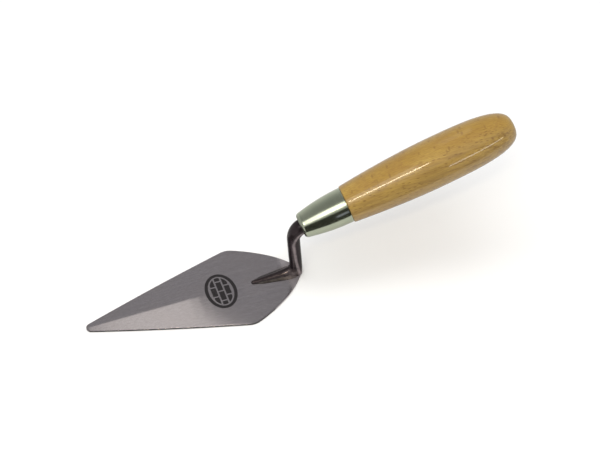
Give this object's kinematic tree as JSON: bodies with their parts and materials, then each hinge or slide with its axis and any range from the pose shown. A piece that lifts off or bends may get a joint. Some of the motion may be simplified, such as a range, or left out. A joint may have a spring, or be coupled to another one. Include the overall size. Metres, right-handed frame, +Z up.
{
  "type": "pointing trowel",
  "caption": "Small pointing trowel: kite-shaped steel blade with a middle ridge, welded gooseneck shank, plated ferrule and turned beech handle.",
  "frame": {"origin": "on the blade's flat underside, directly below the foot of the neck", "axes": "+X from the blade's tip towards the handle, +Z up from the blade's underside, XZ is the plane of symmetry"},
  "size_m": [0.2631, 0.06, 0.0826],
  "materials": {
    "blade_steel": "fine ground along the blade, thinly lacquered",
    "forged_steel": "dark forged and lacquered, half gloss",
    "weld_metal": "dressed weld with brown heat tint",
    "plated_steel": "bright plated, slightly warm",
    "beech": "clear gloss lacquer over beech with short ray flecks"
  },
  "bodies": {
    "root": {"blade": "blade_steel", "shank": "forged_steel", "weld_bead": "weld_metal", "ferrule": "plated_steel", "handle": "beech"}
  },
  "joints": []
}
